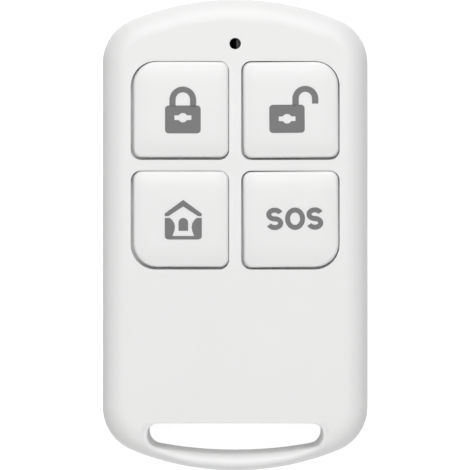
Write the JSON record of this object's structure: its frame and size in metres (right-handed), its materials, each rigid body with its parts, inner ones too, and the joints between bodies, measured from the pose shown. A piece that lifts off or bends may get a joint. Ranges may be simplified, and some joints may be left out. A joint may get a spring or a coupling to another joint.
{
  "type": "alarm key fob",
  "caption": "Flat white remote-control fob with rounded ends, square push keys with function signs, a status lamp hole and a lanyard slot.",
  "frame": {"origin": "middle of the flat back, on the surface that the fob lies on", "axes": "+Z out of the front face with the keys, +Y along the length towards the status lamp, +X to the right when looking at the keys"},
  "size_m": [0.035, 0.0622, 0.012],
  "materials": {
    "case_plastic": "satin white moulding with a fine grain",
    "key_plastic": "smooth satin white",
    "screw_steel": "zinc plated",
    "board_laminate": "green solder mask",
    "copper": "tinned copper",
    "spring_metal": "nickel plated",
    "switch_plastic": "black nylon",
    "plunger_plastic": "natural nylon",
    "cell_steel": "polished can",
    "holder_plastic": "black moulding",
    "package_epoxy": "matt epoxy",
    "resonator_ceramic": "gold-washed lid",
    "resistor_body": "glazed",
    "capacitor_body": "ceramic",
    "lamp_base_plastic": "white",
    "lamp_lens_resin": "clear resin",
    "smoked_resin": "smoked, nearly black"
  },
  "bodies": {
    "case": {"front_cover": "case_plastic", "rear_cover": "case_plastic", "case_screw": "screw_steel", "circuit_board": "board_laminate", "antenna_track": "copper", "switch_leads": "spring_metal", "coin_cell": "cell_steel", "battery_holder": "holder_plastic", "positive_contact": "spring_metal", "negative_contact": "spring_metal", "encoder_chip": "package_epoxy", "encoder_chip_leads": "spring_metal", "rf_transistor": "package_epoxy", "rf_transistor_leads": "spring_metal", "saw_resonator": "resonator_ceramic", "chip_resistors": "resistor_body", "chip_capacitors": "capacitor_body", "status_lamp_base": "lamp_base_plastic", "status_lamp_lens": "lamp_lens_resin", "lamp_light_pipe": "smoked_resin", "arm_switch_base": "switch_plastic", "arm_switch_cover": "spring_metal", "arm_switch_dome": "spring_metal", "disarm_switch_base": "switch_plastic", "disarm_switch_cover": "spring_metal", "disarm_switch_dome": "spring_metal", "home_switch_base": "switch_plastic", "home_switch_cover": "spring_metal", "home_switch_dome": "spring_metal", "sos_switch_base": "switch_plastic", "sos_switch_cover": "spring_metal", "sos_switch_dome": "spring_metal"},
    "arm_key": {"arm_button": "key_plastic"},
    "arm_plunger": {"arm_switch_plunger": "plunger_plastic"},
    "disarm_key": {"disarm_button": "key_plastic"},
    "disarm_plunger": {"disarm_switch_plunger": "plunger_plastic"},
    "home_key": {"home_button": "key_plastic"},
    "home_plunger": {"home_switch_plunger": "plunger_plastic"},
    "sos_key": {"sos_button": "key_plastic"},
    "sos_plunger": {"sos_switch_plunger": "plunger_plastic"}
  },
  "joints": [
    {"name": "arm_press", "type": "slide", "parent": "case", "child": "arm_key", "axis": [0, 0, -1], "range_m": [0, 0.00025], "stiffness_N_per_m": 6000},
    {"name": "arm_plunger_travel", "type": "slide", "parent": "case", "child": "arm_plunger", "axis": [0, 0, -1], "range_m": [0, 0.00025], "deforming": ["arm_switch_dome"]},
    {"name": "disarm_press", "type": "slide", "parent": "case", "child": "disarm_key", "axis": [0, 0, -1], "range_m": [0, 0.00025], "stiffness_N_per_m": 6000},
    {"name": "disarm_plunger_travel", "type": "slide", "parent": "case", "child": "disarm_plunger", "axis": [0, 0, -1], "range_m": [0, 0.00025], "deforming": ["disarm_switch_dome"]},
    {"name": "home_press", "type": "slide", "parent": "case", "child": "home_key", "axis": [0, 0, -1], "range_m": [0, 0.00025], "stiffness_N_per_m": 6000},
    {"name": "home_plunger_travel", "type": "slide", "parent": "case", "child": "home_plunger", "axis": [0, 0, -1], "range_m": [0, 0.00025], "deforming": ["home_switch_dome"]},
    {"name": "sos_press", "type": "slide", "parent": "case", "child": "sos_key", "axis": [0, 0, -1], "range_m": [0, 0.00025], "stiffness_N_per_m": 6000},
    {"name": "sos_plunger_travel", "type": "slide", "parent": "case", "child": "sos_plunger", "axis": [0, 0, -1], "range_m": [0, 0.00025], "deforming": ["sos_switch_dome"]}
  ],
  "couplings": [
    {"joint": "arm_plunger_travel", "follows": "arm_press", "ratio": 1},
    {"joint": "disarm_plunger_travel", "follows": "disarm_press", "ratio": 1},
    {"joint": "home_plunger_travel", "follows": "home_press", "ratio": 1},
    {"joint": "sos_plunger_travel", "follows": "sos_press", "ratio": 1}
  ]
}
